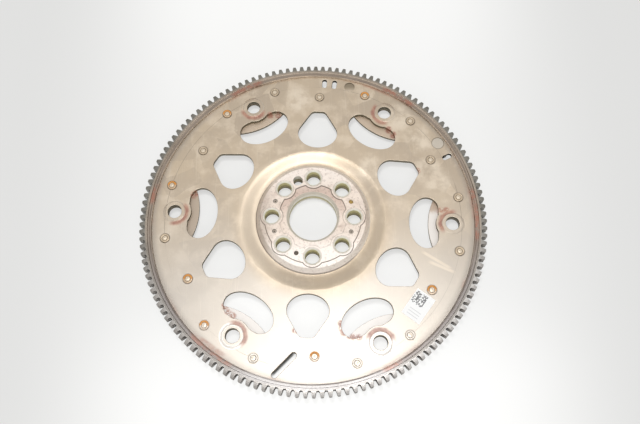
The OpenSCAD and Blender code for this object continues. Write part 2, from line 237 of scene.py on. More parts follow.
class Finish:
    """A material under construction, with one short call for each kind of node."""

    def __init__(self, name):
        self.material = bpy.data.materials.new(name)
        self.material.use_nodes = True
        self.tree = self.material.node_tree
        self.tree.nodes.clear()
        self.shader = self.node("ShaderNodeBsdfPrincipled")
        self.node("ShaderNodeOutputMaterial", Surface=self.shader.outputs["BSDF"])
        self.place = self.node("ShaderNodeTexCoord").outputs["Object"]
        self.x, self.y, self.z = self.node("ShaderNodeSeparateXYZ", Vector=self.place).outputs
        self.radius = self.length(self.x, self.y)
        self.angle = self.math("ARCTAN2", self.y, self.x)

    def node(self, kind, **inputs):
        return add_node(self.tree, kind, **inputs)

    def math(self, operation, *values):
        return add_math(self.tree, operation, *values)

    def length(self, x, y):
        return self.math("SQRT", self.total(self.product(x, x), self.product(y, y)))

    def total(self, first, *others):
        for other in others:
            first = self.math("ADD", first, other)
        return first

    def product(self, first, *others):
        for other in others:
            first = self.math("MULTIPLY", first, other)
        return first

    def most(self, first, *others):
        for other in others:
            first = self.math("MAXIMUM", first, other)
        return first

    def rise(self, value, low, high):
        """0 below low, 1 above high, smooth between; falls where high is below low."""
        node = self.node("ShaderNodeMapRange", Value=value, From_Min=min(low, high), From_Max=max(low, high),
                         To_Min=float(low > high), To_Max=float(high > low))
        node.interpolation_type = "SMOOTHSTEP"
        return node.outputs["Result"]

    def rise_mm(self, value, low, high):
        return self.rise(value, low * MM, high * MM)

    def fade_x(self, low, high):
        """A rise along x, in millimetres; the next two are along y and outwards."""
        return self.rise_mm(self.x, low, high)

    def fade_y(self, low, high):
        return self.rise_mm(self.y, low, high)

    def fade_r(self, low, high):
        return self.rise_mm(self.radius, low, high)

    def edge(self, radius, low, high):
        """A rise outwards, in millimetres from a radius."""
        return self.rise(self.radius, radius + low * MM, radius + high * MM)

    def band(self, value, low, high, soft):
        """1 between low and high, fading to 0 over the soft width on each side."""
        return self.product(self.rise(value, low - soft, low + soft),
                            self.rise(value, high + soft, high - soft))

    def band_mm(self, value, low, high, soft):
        return self.band(value, low * MM, high * MM, soft * MM)

    def ring(self, radius, low, high, soft):
        """A band round the axis, in millimetres from a radius."""
        return self.band(self.radius, radius + low * MM, radius + high * MM, soft * MM)

    def spread(self, value, low, high):
        """Maps 0 to 1 onto low to high."""
        return self.node("ShaderNodeMapRange", Value=value, To_Min=low, To_Max=high).outputs["Result"]

    def mix(self, amount, first, second):
        node = self.tree.nodes.new("ShaderNodeMix")
        node.data_type = "RGBA"
        # Inputs 0, 6 and 7 are the factor and the two colours
        for index, value in ((0, amount), (6, first), (7, second)):
            feed(self.tree, node.inputs[index], value)
        return node.outputs[2]

    def paint(self, tone, *masks):
        """Lays a tone over the finish's colour where the masks' product is 1."""
        self.colour = self.mix(self.product(*masks), self.colour, tone)

    def vector(self, x, y, z=0.0):
        return self.node("ShaderNodeCombineXYZ", X=x, Y=y, Z=z).outputs[0]

    def noise(self, scale, detail=3.0, rough=0.55, vector=None, stretch=(1, 1, 1), turn=0.0, seed=0.0):
        placed = self.node("ShaderNodeMapping", Vector=vector or self.place, Scale=stretch,
                           Rotation=(0, 0, turn), Location=(seed, 0.7 * seed, 0.3 * seed))
        return self.node("ShaderNodeTexNoise", Vector=placed.outputs[0], Scale=scale, Detail=detail,
                         Roughness=rough).outputs["Fac"]

    def away(self, x, y):
        """Distance in plan from a place (x, y in millimetres)."""
        node = self.node("ShaderNodeVectorMath")
        node.operation = "DISTANCE"
        feed(self.tree, node.inputs[0], self.vector(self.x, self.y))
        node.inputs[1].default_value = (x * MM, y * MM, 0)
        return node.outputs["Value"]

    def near(self, spots, reach):
        """1 at any of the places (x, y in millimetres), fading to 0 at the reach."""
        total = 0.0
        for spot in spots:
            mask = self.rise(self.away(*spot), reach * MM, 0.35 * reach * MM)
            total = self.most(total, mask)
        return total

    def stroke(self, start, end, width):
        """1 along the line between two places (in millimetres), fading to 0 at the width and the ends."""
        dx, dy = end[0] - start[0], end[1] - start[1]
        length = math.hypot(dx, dy)
        x = self.math("SUBTRACT", self.x, start[0] * MM)
        y = self.math("SUBTRACT", self.y, start[1] * MM)
        along = self.total(self.product(x, dx / length), self.product(y, dy / length))
        across = self.total(self.product(x, -dy / length), self.product(y, dx / length))
        across = self.math("ABSOLUTE", across)
        return self.product(self.rise(across, width * MM, 0.3 * width * MM),
                            self.band(along, 0.0, length * MM, 3 * MM))

    def flatness(self):
        """1 on the flats, 0 on the walls that stand along the axis."""
        normal = self.node("ShaderNodeTexCoord").outputs["Normal"]
        return self.math("ABSOLUTE", self.node("ShaderNodeSeparateXYZ", Vector=normal).outputs[2])

    def upright(self):
        """1 on the walls that stand along the axis, 0 on the flats."""
        return self.rise(self.flatness(), 0.75, 0.25)

    def bump(self, height, strength, distance):
        node = self.node("ShaderNodeBump", Height=height, Strength=strength, Distance=distance)
        feed(self.tree, self.shader.inputs["Normal"], node.outputs["Normal"])

    def done(self, **inputs):
        feed(self.tree, self.shader.inputs["Base Color"], self.colour)
        for name, value in inputs.items():
            feed(self.tree, self.shader.inputs[name.replace("_", " ")], value)
        return self.material


def round_nearest(f, radius, turn, count, spread=0.0):
    """Place beside the nearest of the spots that stand at the radius round the axis, and its distance.

    The turn is a number or a socket; with a spread there are two spots, one on each side of it.
    """
    step = 2 * math.pi / count
    part = f.math("DIVIDE", f.math("SUBTRACT", f.angle, turn), step)
    within = f.product(f.math("SUBTRACT", part, f.math("ROUND", part)), step)
    if spread:
        within = f.math("SUBTRACT", f.math("ABSOLUTE", within), spread)
    x = f.math("SUBTRACT", f.product(f.radius, f.math("COSINE", within)), radius)
    y = f.product(f.radius, f.math("SINE", within))
    return x, y, f.length(x, y)


def plate_finish(settings):
    """Worn steel sheet: stains, rubbed patches, scratches, dark walls and rust in the known places, with
    painted highlights and painted shade.
    """
    f = Finish("plate_steel")
    cloud = f.noise(14, 4, 0.6)
    blotch = f.noise(70, 4, 0.6, seed=3)
    grain = f.noise(900, 3, 0.6)
    # Rubbed patches with ragged sides, laid out round the axis
    cells = f.node("ShaderNodeTexVoronoi", Scale=1.0, Vector=f.vector(
        f.total(f.product(f.angle, 4.6), f.product(blotch, 0.35)),
        f.total(f.product(f.radius, 34), f.product(cloud, 0.5))))
    patch = f.node("ShaderNodeSeparateColor", Color=cells.outputs["Color"]).outputs[0]
    flat = f.fade_r(74, 86)
    patch = f.total(f.product(f.math("SUBTRACT", patch, 0.5), flat), 0.5)
    f.colour = f.mix(f.rise(f.total(f.product(patch, 0.22), f.product(cloud, 0.8)), 0.36, 0.66),
                     settings.stain, settings.steel)
    f.paint(settings.pale, f.rise(f.total(f.product(patch, 0.16), blotch), 0.52, 0.82), 0.7)
    # Painted sheen: the steel is painted paler and less yellow towards the near side, where it mirrors the
    # key light
    f.paint((0.56, 0.515, 0.46), f.fade_y(50, -90), f.fade_r(64, 80), 0.8)
    rubbed = f.product(f.near(PALE_SPOTS, 18), f.rise(blotch, 0.3, 0.6), 0.55)
    for start, end in SCUFFS:
        rubbed = f.most(rubbed, f.product(f.stroke(start, end, 2), 0.45))
    f.paint((0.86, 0.74, 0.585), rubbed)
    # The dish is paler on the left
    f.paint((0.84, 0.70, 0.53), f.fade_r(72, 64), f.fade_x(-15, -50), 0.6)
    # Fine scratches in two directions
    scratch = f.most(*(f.rise(f.noise(1, 2, 0.5, stretch=(1400, 22, 1), turn=turn, seed=seed), 0.66, 0.74)
                       for turn, seed in ((0.6, 1.0), (-0.9, 5.0))))
    f.paint((0.78, 0.70, 0.58), scratch, 0.3)
    f.paint(settings.stain, f.rise(grain, 0.55, 0.75), 0.18)
    # Dark lines, partly joints and partly painted shade: the step of the outer band, and round the rivets
    broken = f.rise(f.noise(25, 2, 0.5, seed=9), 0.38, 0.55)
    line = f.product(f.ring(RIVET_R, -0.1, 0.3, 0.2), broken, f.spread(f.fade_y(10, -60), 1.0, 0.35))
    outer = round_nearest(f, RIVET_R, CONVERTER_TURN, CONVERTER_COUNT, RIVET_SPREAD)[2]
    shifted = f.product(f.band(f.angle, math.radians(-115), math.radians(-75), 0.01), SHIFTED_RIVET_TURN)
    inner = round_nearest(f, INNER_RIVET_R, f.total(shifted, CONVERTER_TURN + math.pi / CONVERTER_COUNT),
                          CONVERTER_COUNT)[2]
    ring = f.rise(f.math("MINIMUM", outer, inner), 5.2 * MM, 4.4 * MM)
    ring = f.product(ring, f.spread(f.fade_y(-60, -110), 1.0, 0.5))
    f.paint((0.15, 0.11, 0.07), f.most(line, ring), 0.75)
    # The plate darkens towards its rim, least at the far side
    shade = f.rise(f.total(f.radius, f.product(blotch, 4 * MM)), PLATE_R - 5 * MM, PLATE_R + 2 * MM)
    f.paint((0.27, 0.235, 0.195), shade, f.fade_y(125, 95), 0.6)
    # Painted light and shade: the backing ring's lobes are painted dull on the far side and the left, as
    # shaded, and pale on the near side and the right, as lit
    lobe = f.product(f.rise(f.z, BACKING_TOP + 0.4 * MM, BACKING_TOP + 0.1 * MM), f.fade_r(85, 95))
    far = f.product(f.fade_x(105, 85), f.fade_y(-60, -30))
    near = f.mix(f.rise(f.total(f.y, f.product(blotch, 12 * MM)), 6 * MM, 14 * MM),
                 (0.92, 0.88, 0.84), (0.62, 0.48, 0.37))
    dull = f.mix(f.product(f.fade_x(-80, -100), f.fade_y(50, 20)), (0.67, 0.54, 0.41), (0.52, 0.42, 0.32))
    f.paint(f.mix(far, near, dull), lobe, 0.85)
    # Painted shade: the dimple is painted dark on its far side; the punch mark is grey with a dark outline
    dent = f.product(f.rise(f.away(*DIMPLE), 5.4 * MM, 4.8 * MM),
                     f.rise(f.y, DIMPLE[1] * MM - 5 * MM, DIMPLE[1] * MM + 2 * MM))
    f.paint((0.22, 0.165, 0.095), dent, 0.9)
    mark = f.away(*PUNCH_MARK)
    f.paint((0.60, 0.56, 0.49), f.rise_mm(mark, 5.6, 5.2), 0.6)
    f.paint((0.17, 0.13, 0.08), f.band_mm(mark, 5.4, 6.1, 0.25), 0.75)
    # Walls of the windows and holes are painted dark and olive, partly as painted shade, lighter under the
    # hub, and near black in the slots as painted shade
    wall = f.upright()
    olive = f.mix(f.noise(120, 3, 0.6, seed=2), (0.095, 0.08, 0.045), (0.20, 0.17, 0.105))
    olive = f.mix(f.edge(HUB_R, 2, 0), olive, (0.45, 0.40, 0.21))
    olive = f.mix(f.near(SLOTS, 14), olive, (0.02, 0.016, 0.01))
    # Painted highlight: the broken edges and other slanting faces are painted pale
    f.paint((0.84, 0.73, 0.60), f.band(f.flatness(), 0.5, 0.88, 0.1), 0.85)
    f.paint(olive, wall, 0.92)
    # Rust: a crescent by each converter bolt pad, the rim, and the edges of some windows
    x, y, away = round_nearest(f, CONVERTER_R, CONVERTER_TURN, CONVERTER_COUNT)
    facing = f.math("DIVIDE", f.total(f.product(x, math.cos(2.62)), f.product(y, math.sin(2.62))),
                    f.math("MAXIMUM", away, 0.1 * MM))
    # Painted highlight: the bolt pads' skirts on the near side are painted pale
    skirt = f.product(f.band_mm(away, 8.6, 11.8, 0.4), f.fade_y(-60, -100))
    f.paint((0.95, 0.90, 0.84), skirt, 0.8)
    ragged = f.noise(180, 3, 0.6, seed=4)
    away = f.total(away, f.product(f.math("SUBTRACT", ragged, 0.5), 2.4 * MM))
    crescent = f.product(f.rise_mm(away, 8.8, 10.2), f.rise_mm(away, 14.4, 11.2),
                         f.rise(facing, 0.05, 0.6), f.rise(f.noise(45, 2, 0.5, seed=6), 0.1, 0.42))
    rim = f.product(f.edge(PLATE_R, -4, 0), f.rise(f.noise(22, 3, 0.6, seed=8), 0.5, 0.66),
                    f.spread(f.fade_y(-20, -80), 0.7, 0.3))
    edges = f.product(f.near(RUSTY_EDGES, 4), f.rise(f.noise(420, 3, 0.6, seed=7), 0.38, 0.5))
    edges = f.most(edges, f.product(f.stroke(*RUSTY_RIM, 3.2), f.rise(blotch, 0.35, 0.6), 0.6))
    rust = f.most(crescent, rim, edges)
    f.paint(f.mix(f.rise(ragged, 0.35, 0.65), settings.rust, (0.52, 0.26, 0.17)), rust, 0.85)
    rough = f.spread(f.total(f.product(blotch, 0.6), f.product(cloud, 0.4)), 0.30, 0.42)
    rough = f.total(rough, f.product(f.most(rust, lobe, f.product(wall, 0.6)), 0.3))
    f.bump(f.total(f.product(blotch, 0.5), f.product(grain, 0.12), f.product(scratch, 0.1)), 0.1, 0.25 * MM)
    return f.done(Roughness=rough, Metallic=f.spread(f.most(wall, f.product(skirt, 0.8)), 0.85, 0.2),
                  Coat_Weight=f.spread(wall, 0.9, 0.0), Coat_Roughness=0.32, Coat_IOR=1.8)


def gear_finish(settings):
    """Hardened gear steel: dull teeth, a brown land and a rusty seam against the plate, with painted
    highlights and painted shade.
    """
    f = Finish("gear_steel")
    cloud = f.noise(30, 4, 0.6)
    grain = f.noise(600, 3, 0.6)
    teeth = f.mix(f.rise(cloud, 0.35, 0.65), settings.steel, tuple(0.8 * c for c in settings.steel))
    land = f.mix(f.rise(cloud, 0.4, 0.7), settings.land, (0.30, 0.255, 0.205))
    f.colour = f.mix(f.edge(GEAR_TIP_R, -6.2, -4.6), land, teeth)
    groove = f.edge(PLATE_R, 3.6, 3.0)
    f.paint((0.33, 0.26, 0.21), groove, 0.5)
    # Painted light: the gear is painted greyer towards the near side, and pale at its foot and on its tooth
    # tops as painted highlights
    near = f.fade_y(5, -80)
    f.paint(f.mix(groove, (0.335, 0.310, 0.285), (0.300, 0.270, 0.255)), near)
    f.paint((0.45, 0.43, 0.42), f.edge(GEAR_TIP_R, -5, -6.5), f.fade_y(-126, -143))
    tops = f.product(f.edge(GEAR_TIP_R, -6, -5), f.rise(f.flatness(), 0.5, 0.9))
    right = f.rise(f.total(f.x, f.product(f.y, -1.0)), 60 * MM, 170 * MM)
    f.paint((0.72, 0.69, 0.66), tops, near, f.spread(right, 0.35, 0.85))
    # The seam is a soft broken line, rusty in places
    far = f.fade_y(20, 110)
    seam = f.total(f.radius, f.product(near, 0.6 * MM))
    seam = f.product(f.band(seam, PLATE_R + 0.8 * MM, PLATE_R + 1.7 * MM, 0.5 * MM), f.spread(far, 1.0, 0.5),
                     f.spread(f.rise(f.noise(60, 3, 0.6, seed=5), 0.35, 0.6), 0.5, 1.0))
    fresh = f.product(f.near(RUSTY_SEAM, 12), f.rise(f.noise(150, 4, 0.65, seed=4), 0.35, 0.55))
    f.paint((0.12, 0.085, 0.065), seam, f.spread(near, 0.7, 0.8))
    # Painted light: the wall over the plate and the groove's outer side, which face the axis, are painted
    # paler, most on the far side, where shade falls on them
    wall = f.product(f.upright(), f.edge(PLATE_R, 0.6, 0.3))
    outer = f.ring(PLATE_R, 3.1, 3.4, 0.15)
    wall = f.most(wall, f.product(outer, far))
    f.paint((0.92, 0.78, 0.64), wall, f.spread(near, 1.0, 0.3))
    f.paint(settings.rust, groove, fresh, f.spread(near, 0.85, 0.5))
    # Painted shade: the walls between the teeth are painted dark
    root = f.product(f.upright(), f.band(f.radius, PLATE_R + 4 * MM, GEAR_TIP_R - 4.2 * MM, 0.6 * MM))
    f.paint((0.06, 0.05, 0.042), root, 0.9)
    # Turned lines on the land
    lines = f.noise(1, 2, 0.5, vector=f.vector(f.product(f.radius, 2600), f.product(f.angle, 3)))
    f.paint((0.10, 0.08, 0.06), f.rise(lines, 0.5, 0.62), 0.25)
    f.paint((0.12, 0.10, 0.08), f.rise(grain, 0.5, 0.7), 0.2)
    f.bump(f.total(f.product(grain, 0.4), lines), 0.12, 0.1 * MM)
    rough = f.total(f.spread(cloud, 0.30, 0.44), f.product(seam, 0.2))
    return f.done(Roughness=rough, Metallic=f.spread(wall, 0.85, 0.1))


def hub_finish(settings):
    """Machined steel with a stained recess, dark lines along the pad's edges and olive bolt holes, with
    painted highlights and painted shade.
    """
    f = Finish("hub_steel")
    cloud = f.noise(45, 4, 0.6)
    grain = f.noise(420, 4, 0.7)
    bolt = round_nearest(f, CRANK_R, CRANK_TURN, CRANK_COUNT)[2]
    across = f.math("ABSOLUTE", f.math("SUBTRACT", f.radius, CRANK_R))
    outside = f.math("MINIMUM", f.math("SUBTRACT", across, PAD_W), f.math("SUBTRACT", bolt, PETAL_R))
    inner = f.edge(CRANK_R, 1, -1)
    outer = f.math("SUBTRACT", 1.0, inner)
    low = f.fade_y(18, -8)
    f.colour = f.mix(f.product(f.rise(cloud, 0.4, 0.65), 0.5), settings.steel,
                     tuple(0.86 * c for c in settings.steel))
    # The recess is stained on its far side, the rim is pinker
    off_pad = f.rise(outside, 0.0, 0.4 * MM)
    f.paint(settings.stain, off_pad, inner, f.spread(low, 0.65, 0.05))
    f.paint((0.90, 0.80, 0.73), off_pad, outer, f.fade_y(-24, -42), 0.6)
    # Painted light: brighter and less mottled on the far and near sides, and painted shade, duller, on the
    # left
    bright = f.most(f.product(f.fade_y(22, 40), 0.6), f.fade_y(-10, -36))
    f.paint((1.0, 0.92, 0.85), bright, 0.85)
    f.paint((0.50, 0.42, 0.35), f.fade_x(-34, -46), outer, 0.7)
    mottle = f.noise(130, 4, 0.65, seed=2)
    f.paint((0.50, 0.375, 0.30), f.rise(mottle, 0.46, 0.7), f.spread(bright, 0.4, 0.1))
    f.paint((0.33, 0.24, 0.19), f.rise(grain, 0.5, 0.68), f.spread(bright, 0.55, 0.3))
    # Dark lines along the pad's edges, partly dirt in the step and partly painted shade, and along the rim's
    # left side as painted shade; a painted highlight on the rest of the rim, and bright rings round the bolt
    # holes as painted highlights
    line = f.product(f.band(outside, 0.0, 0.7 * MM, 0.3 * MM),
                     f.total(f.product(inner, f.spread(low, 1.0, 0.25)), f.product(outer, low, 0.9)))
    left = f.rise(f.total(f.x, f.y), 25 * MM, -15 * MM)
    rim = f.ring(HUB_R, -0.7, 1, 0.25)
    line = f.most(line, f.product(rim, left, 0.6))
    f.paint((0.085, 0.055, 0.035), line)
    rim = f.product(f.ring(HUB_R, -1, 1, 0.25), f.rise(left, 1.0, 0.0), 0.8)
    f.paint((0.92, 0.87, 0.78), rim)
    f.paint((0.25, 0.20, 0.16), f.band_mm(bolt, 8.2, 8.5, 0.25), 0.45)
    f.paint((0.92, 0.89, 0.80), f.band_mm(bolt, 6.3, 8.0, 0.2), 0.85)
    # The bolt holes are olive inside and painted dark low down, as painted shade; the bore is painted a pale
    # green grey, as painted light against the shade in it
    wall = f.product(f.upright(), f.edge(HUB_R, -0.5, -2.5))
    bore = f.edge(BORE_R, 3, 2)
    chamfer = f.edge(BORE_R, 2.4, 1.8)
    f.paint((0.60, 0.56, 0.47), chamfer, 0.8)
    deep = f.rise(f.z, HUB_TOP - 9 * MM, HUB_TOP - 13 * MM)
    plain = f.most(bore, f.rise_mm(bolt, 8.5, 9))
    olive = f.mix(deep, f.mix(plain, (0.72, 0.67, 0.34), (0.86, 0.83, 0.74)),
                  f.mix(bore, (0.22, 0.19, 0.10), (0.80, 0.79, 0.74)))
    f.paint(olive, wall, 0.95)
    f.bump(f.total(f.product(grain, 0.6), cloud), 0.25, 0.2 * MM)
    return f.done(Roughness=f.spread(cloud, 0.42, 0.56), Metallic=f.spread(wall, 0.4, 0.1))


def rivet_finish(settings):
    """Dull rivet steel with painted highlights and painted shade; the attribute rust says how far a rivet
    has turned orange on its far side.
    """
    f = Finish("rivet_steel")
    given = f.node("ShaderNodeAttribute")
    given.attribute_name = "rust"
    spot = f.node("ShaderNodeAttribute")
    spot.attribute_name = "spot"
    across, along, _ = f.node("ShaderNodeSeparateXYZ", Vector=spot.outputs["Vector"]).outputs
    out = f.length(across, along)
    grain = f.noise(420, 3, 0.6)
    far = f.rise(f.total(along, f.product(f.math("SUBTRACT", grain, 0.5), 5 * MM)), -1.5 * MM, 1 * MM)
    amount = f.product(given.outputs["Fac"], f.spread(far, 0.15, 1.0), f.rise_mm(out, 1.9, 2.9))
    f.colour = f.mix(f.product(f.rise(grain, 0.5, 0.7), 0.3), settings.steel, (0.40, 0.33, 0.25))
    # Painted sheen: the rivets are painted paler towards the near side
    near = f.fade_y(-40, -110)
    f.paint((0.68, 0.63, 0.57), near, 0.85)
    # Painted highlight: the middle of the dimple is painted pale
    f.paint((0.80, 0.70, 0.56), f.rise_mm(out, 2.0, 1.6), 0.6)
    # Painted shade: dark lines at the dimple's edge and round the head, and on the upright sides
    line = f.most(f.upright(), f.product(f.band_mm(out, 2.2, 2.6, 0.25), 0.85),
                  f.product(f.rise_mm(out, 3.7, 4.0), 0.7))
    f.paint((0.12, 0.09, 0.055), line, f.spread(near, 0.75, 0.6))
    f.paint(f.mix(grain, settings.rust, (0.80, 0.40, 0.10)), amount, 0.9)
    f.bump(grain, 0.3, 0.2 * MM)
    return f.done(Roughness=f.spread(amount, 0.36, 0.7), Metallic=0.7)


def pin_finish():
    """Pin steel, dark at the heart and round the edge; one pin is dark all over and one has gone yellow."""
    f = Finish("pin_steel")
    grain = f.noise(500, 3, 0.6)
    yellow, dark = f.near([YELLOW_PIN], 6), f.near([DARK_PIN], 6)
    out = round_nearest(f, CRANK_R, math.radians(PIN_TURNS[0]), CRANK_COUNT)[2]
    f.colour = f.mix(grain, (0.36, 0.31, 0.26), (0.52, 0.45, 0.38))
    heart = f.most(f.rise_mm(out, 1.0, 0.6), f.rise_mm(out, 1.6, 1.8), dark)
    f.paint((0.07, 0.055, 0.04), heart, 0.85)
    f.paint((0.40, 0.27, 0.08), yellow, f.rise(grain, 0.3, 0.5))
    f.bump(grain, 0.3, 0.2 * MM)
    return f.done(Roughness=f.spread(grain, 0.45, 0.65), Metallic=0.6)


def label_finish(settings, centre):
    """White label with a made-up field of blocks and some pale bars."""
    f = Finish("label_paper")
    placed = f.node("ShaderNodeMapping", Vector=f.place, Location=centre, Rotation=(0, 0, LABEL_TURN))
    placed.vector_type = "TEXTURE"
    u, v, _ = f.node("ShaderNodeSeparateXYZ", Vector=placed.outputs[0]).outputs
    cell = 0.95 * MM
    block = f.node("ShaderNodeTexWhiteNoise", Vector=f.vector(
        f.math("FLOOR", f.math("DIVIDE", u, cell)), f.math("FLOOR", f.math("DIVIDE", v, cell))))

    def within(value, half):
        return f.math("LESS_THAN", f.math("ABSOLUTE", value), half)

    field = f.product(within(f.total(u, 3 * cell), 6 * cell),
                      within(f.math("SUBTRACT", v, 6 * cell), 6 * cell))
    blocks = f.product(field, f.math("GREATER_THAN", block.outputs["Value"], 0.5))
    bars = f.product(within(f.total(v, 7 * MM), 3.6 * MM), within(u, 5.5 * MM),
                     f.math("LESS_THAN", f.math("FRACT", f.math("DIVIDE", v, 2.6 * MM)), 0.28))
    f.colour = f.mix(f.product(f.noise(160, 3, 0.6), 0.10), settings.paper, (0.72, 0.70, 0.66))
    f.paint((0.30, 0.30, 0.30), bars, 0.35)
    f.paint((0.08, 0.08, 0.085), blocks, 0.85)
    f.bump(f.noise(220, 2, 0.5), 0.15, 0.05 * MM)
    return f.done(Roughness=0.5)


def floor_finish(settings):
    """Pale paint, painted duller at the sides as painted shade. The camera sees it shine by itself, so its
    shadows are faint.
    """
    f = Finish("floor_paint")
    side = f.rise(f.math("ABSOLUTE", f.math("SUBTRACT", f.x, 0.01)), 0.10, 0.30)
    colour = f.mix(side, settings.floor, tuple(0.84 * c for c in settings.floor))
    seen = f.node("ShaderNodeLightPath").outputs["Is Camera Ray"]
    under = f.fade_r(150, 140)
    glow = f.total(f.product(f.fade_y(80, 280), 0.07), f.product(f.fade_y(-50, -160), 0.13))
    glow = f.total(0.85, f.product(f.rise(side, 1.0, 0.0), glow))
    # Painted shade: dimmer where it is seen through the plate, and a painted shadow most of all through the
    # long slot
    inside = f.total(0.68, f.product(f.fade_y(-10, -90), 0.17), f.product(f.fade_y(-110, -130), 0.15))
    glow = f.total(f.product(glow, f.math("SUBTRACT", 1.0, under)), f.product(inside, under))
    glow = f.product(glow, f.spread(f.stroke(*SLOT_FLOOR, 2.7), 1.0, 0.05))
    f.colour = f.mix(seen, colour, f.mix(f.spread(under, 0.20, 0.30), (0, 0, 0), colour))
    return f.done(Roughness=0.6, Emission_Color=colour, Emission_Strength=f.product(seen, glow))


# Mesh helpers

def add_object(name, mesh):
    obj = bpy.data.objects.new(name, mesh)
    bpy.context.scene.collection.objects.link(obj)
    return obj


def polar(radius, angle, z=0.0):
    return (radius * math.cos(angle), radius * math.sin(angle), z)


def mesh_of(work, name):
    """The mesh of a bmesh, which is freed."""
    mesh = bpy.data.meshes.new(name)
    work.to_mesh(mesh)
    work.free()
    return mesh


def settle(obj, name):
    """Turns an object with modifiers into a plain mesh object of the given name."""
    graph = bpy.context.evaluated_depsgraph_get()
    mesh = bpy.data.meshes.new_from_object(obj.evaluated_get(graph))
    mesh.name = name
    bpy.data.objects.remove(obj)
    return add_object(name, mesh)


def smooth(mesh, degrees):
    mesh.polygons.foreach_set("use_smooth", [True] * len(mesh.polygons))
    mesh.set_sharp_from_angle(angle=math.radians(degrees))


def hand_over(obj, node):
    """Puts a piece on the body and in place of its solid."""
    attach(obj, "root")
    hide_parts(node)


def dressed_copy(node, name, edge, material):
    """A copy of a solid with its triangles merged and the edges of its tall walls broken."""
    work = bmesh.new()
    work.from_mesh(frame["nodes"][node].data)
    bmesh.ops.remove_doubles(work, verts=work.verts, dist=2e-6)
    bmesh.ops.dissolve_limit(work, angle_limit=math.radians(0.4), verts=work.verts, edges=work.edges)
    work.normal_update()
    weight = work.edges.layers.float.new("bevel_weight_edge")
    flats = []
    for side in work.edges:
        faces = side.link_faces
        bend = side.calc_face_angle(0)
        flats.append(bend > 0.01 and any(abs(f.normal.z) > 0.9999 for f in faces))
        if side.is_convex and bend > math.radians(40):
            walls = [f for f in faces if abs(f.normal.z) < 0.5]
            tall = all(max(v.co.z for v in f.verts) - min(v.co.z for v in f.verts) > 1.5 * MM for f in walls)
            side[weight] = 1.0 if tall else 0.0
    mesh = mesh_of(work, name)
    mesh.materials.clear()
    mesh.materials.append(material)
    smooth(mesh, 20)
    # The flats keep their own normals right up to their edges
    sharp = mesh.attributes["sharp_edge"]
    for item, flat in zip(sharp.data, flats):
        item.value = item.value or flat
    obj = add_object(name + "_raw", mesh)
    bevel = obj.modifiers.new("Broken edges", "BEVEL")
    bevel.width = edge
    bevel.segments = 2
    bevel.limit_method = "WEIGHT"
    bevel.use_clamp_overlap = False
    bevel.harden_normals = True
    return settle(obj, name)


def lathe(profile, segments):
    """Mesh of a profile (radius, height) turned round the axis; a radius of 0 closes it."""
    work = bmesh.new()
    rings = []
    for r, z in profile:
        if r == 0:
            rings.append([work.verts.new((0, 0, z))])
        else:
            rings.append([work.verts.new(polar(r, 2 * math.pi * i / segments, z)) for i in range(segments)])
    for low, high in zip(rings, rings[1:]):
        for i in range(segments):
            corners = [low[i % len(low)], low[(i + 1) % len(low)],
                       high[(i + 1) % len(high)], high[i % len(high)]]
            work.faces.new(list(dict.fromkeys(corners)))
    bmesh.ops.recalc_face_normals(work, faces=work.faces)
    return mesh_of(work, "turned")


def gear_sector(teeth):
    """One open sector of the gear: a strip of profiles across a tooth, from gap to gap."""
    module = 2 * GEAR_TIP_R / (teeth + 2)
    pitch_r = module * teeth / 2
    root_r = pitch_r - 1.25 * module
    base_r = pitch_r * math.cos(PRESSURE_ANGLE)
    inner_r = PLATE_R - 1.4 * MM
    bore_r = PLATE_R + 0.05 * MM
    land_r = bore_r + 3 * MM
    seat = BACKING_TOP
    bevel_r, bevel_slope = GEAR_TIP_R - 3 * MM, 1 / 3
    groove = GEAR_TOP - 0.9 * MM
    chip, corner, tip_edge = 0.25 * MM, 0.4 * MM, 0.2 * MM

    def involute(a):
        return math.tan(a) - a

    def half_tooth(r):
        return math.pi / 2 / teeth + involute(PRESSURE_ANGLE) - involute(math.acos(base_r / r))

    def profile(r):
        """Points (radius, height) once round the section, where the gear reaches out to r."""
        top = GEAR_TOP - max(0.0, r - bevel_r) * bevel_slope
        return [(inner_r, GEAR_BOTTOM + corner), (inner_r, seat), (bore_r, seat), (bore_r, groove),
                (land_r, groove), (land_r + 0.45 * MM, GEAR_TOP),
                (min(bevel_r, r - 2 * chip), GEAR_TOP), (r - chip, top), (r, top - chip),
                (r, GEAR_BOTTOM + chip), (r - chip, GEAR_BOTTOM), (inner_r + corner, GEAR_BOTTOM)]

    start_r = root_r + 0.25 * module
    side = [(math.pi / teeth, root_r), (half_tooth(start_r) + 0.25 * module / root_r, root_r),
            (half_tooth(start_r), start_r)]
    side += [(half_tooth(r), r) for r in (0.5 * (start_r + GEAR_TIP_R), GEAR_TIP_R - tip_edge)]
    side.append((half_tooth(GEAR_TIP_R) - tip_edge / GEAR_TIP_R, GEAR_TIP_R))
    stations = [(-a, r) for a, r in side] + [(a, r) for a, r in reversed(side)]
    work = bmesh.new()
    loops = [[work.verts.new(polar(p, GEAR_TURN + a, z)) for p, z in profile(r)] for a, r in stations]
    for first, second in zip(loops, loops[1:]):
        for i in range(len(first)):
            j = (i + 1) % len(first)
            work.faces.new((first[i], first[j], second[j], second[i]))
    return mesh_of(work, "gear_sector")


# Geometry Nodes

def new_tree(name, sockets):
    tree = bpy.data.node_groups.new(name, "GeometryNodeTree")
    tree.interface.new_socket("Geometry", in_out="INPUT", socket_type="NodeSocketGeometry")
    for label, kind in sockets:
        tree.interface.new_socket(label, in_out="INPUT", socket_type=kind)
    tree.interface.new_socket("Geometry", in_out="OUTPUT", socket_type="NodeSocketGeometry")
    return tree, tree.nodes.new("NodeGroupInput"), tree.nodes.new("NodeGroupOutput")


def painted(tree, given, result, geometry):
    """Ends a tree with its material on the geometry."""
    paint = add_node(tree, "GeometryNodeSetMaterial", Geometry=geometry, Material=given.outputs["Material"])
    tree.links.new(paint.outputs[0], result.inputs[0])
    return tree


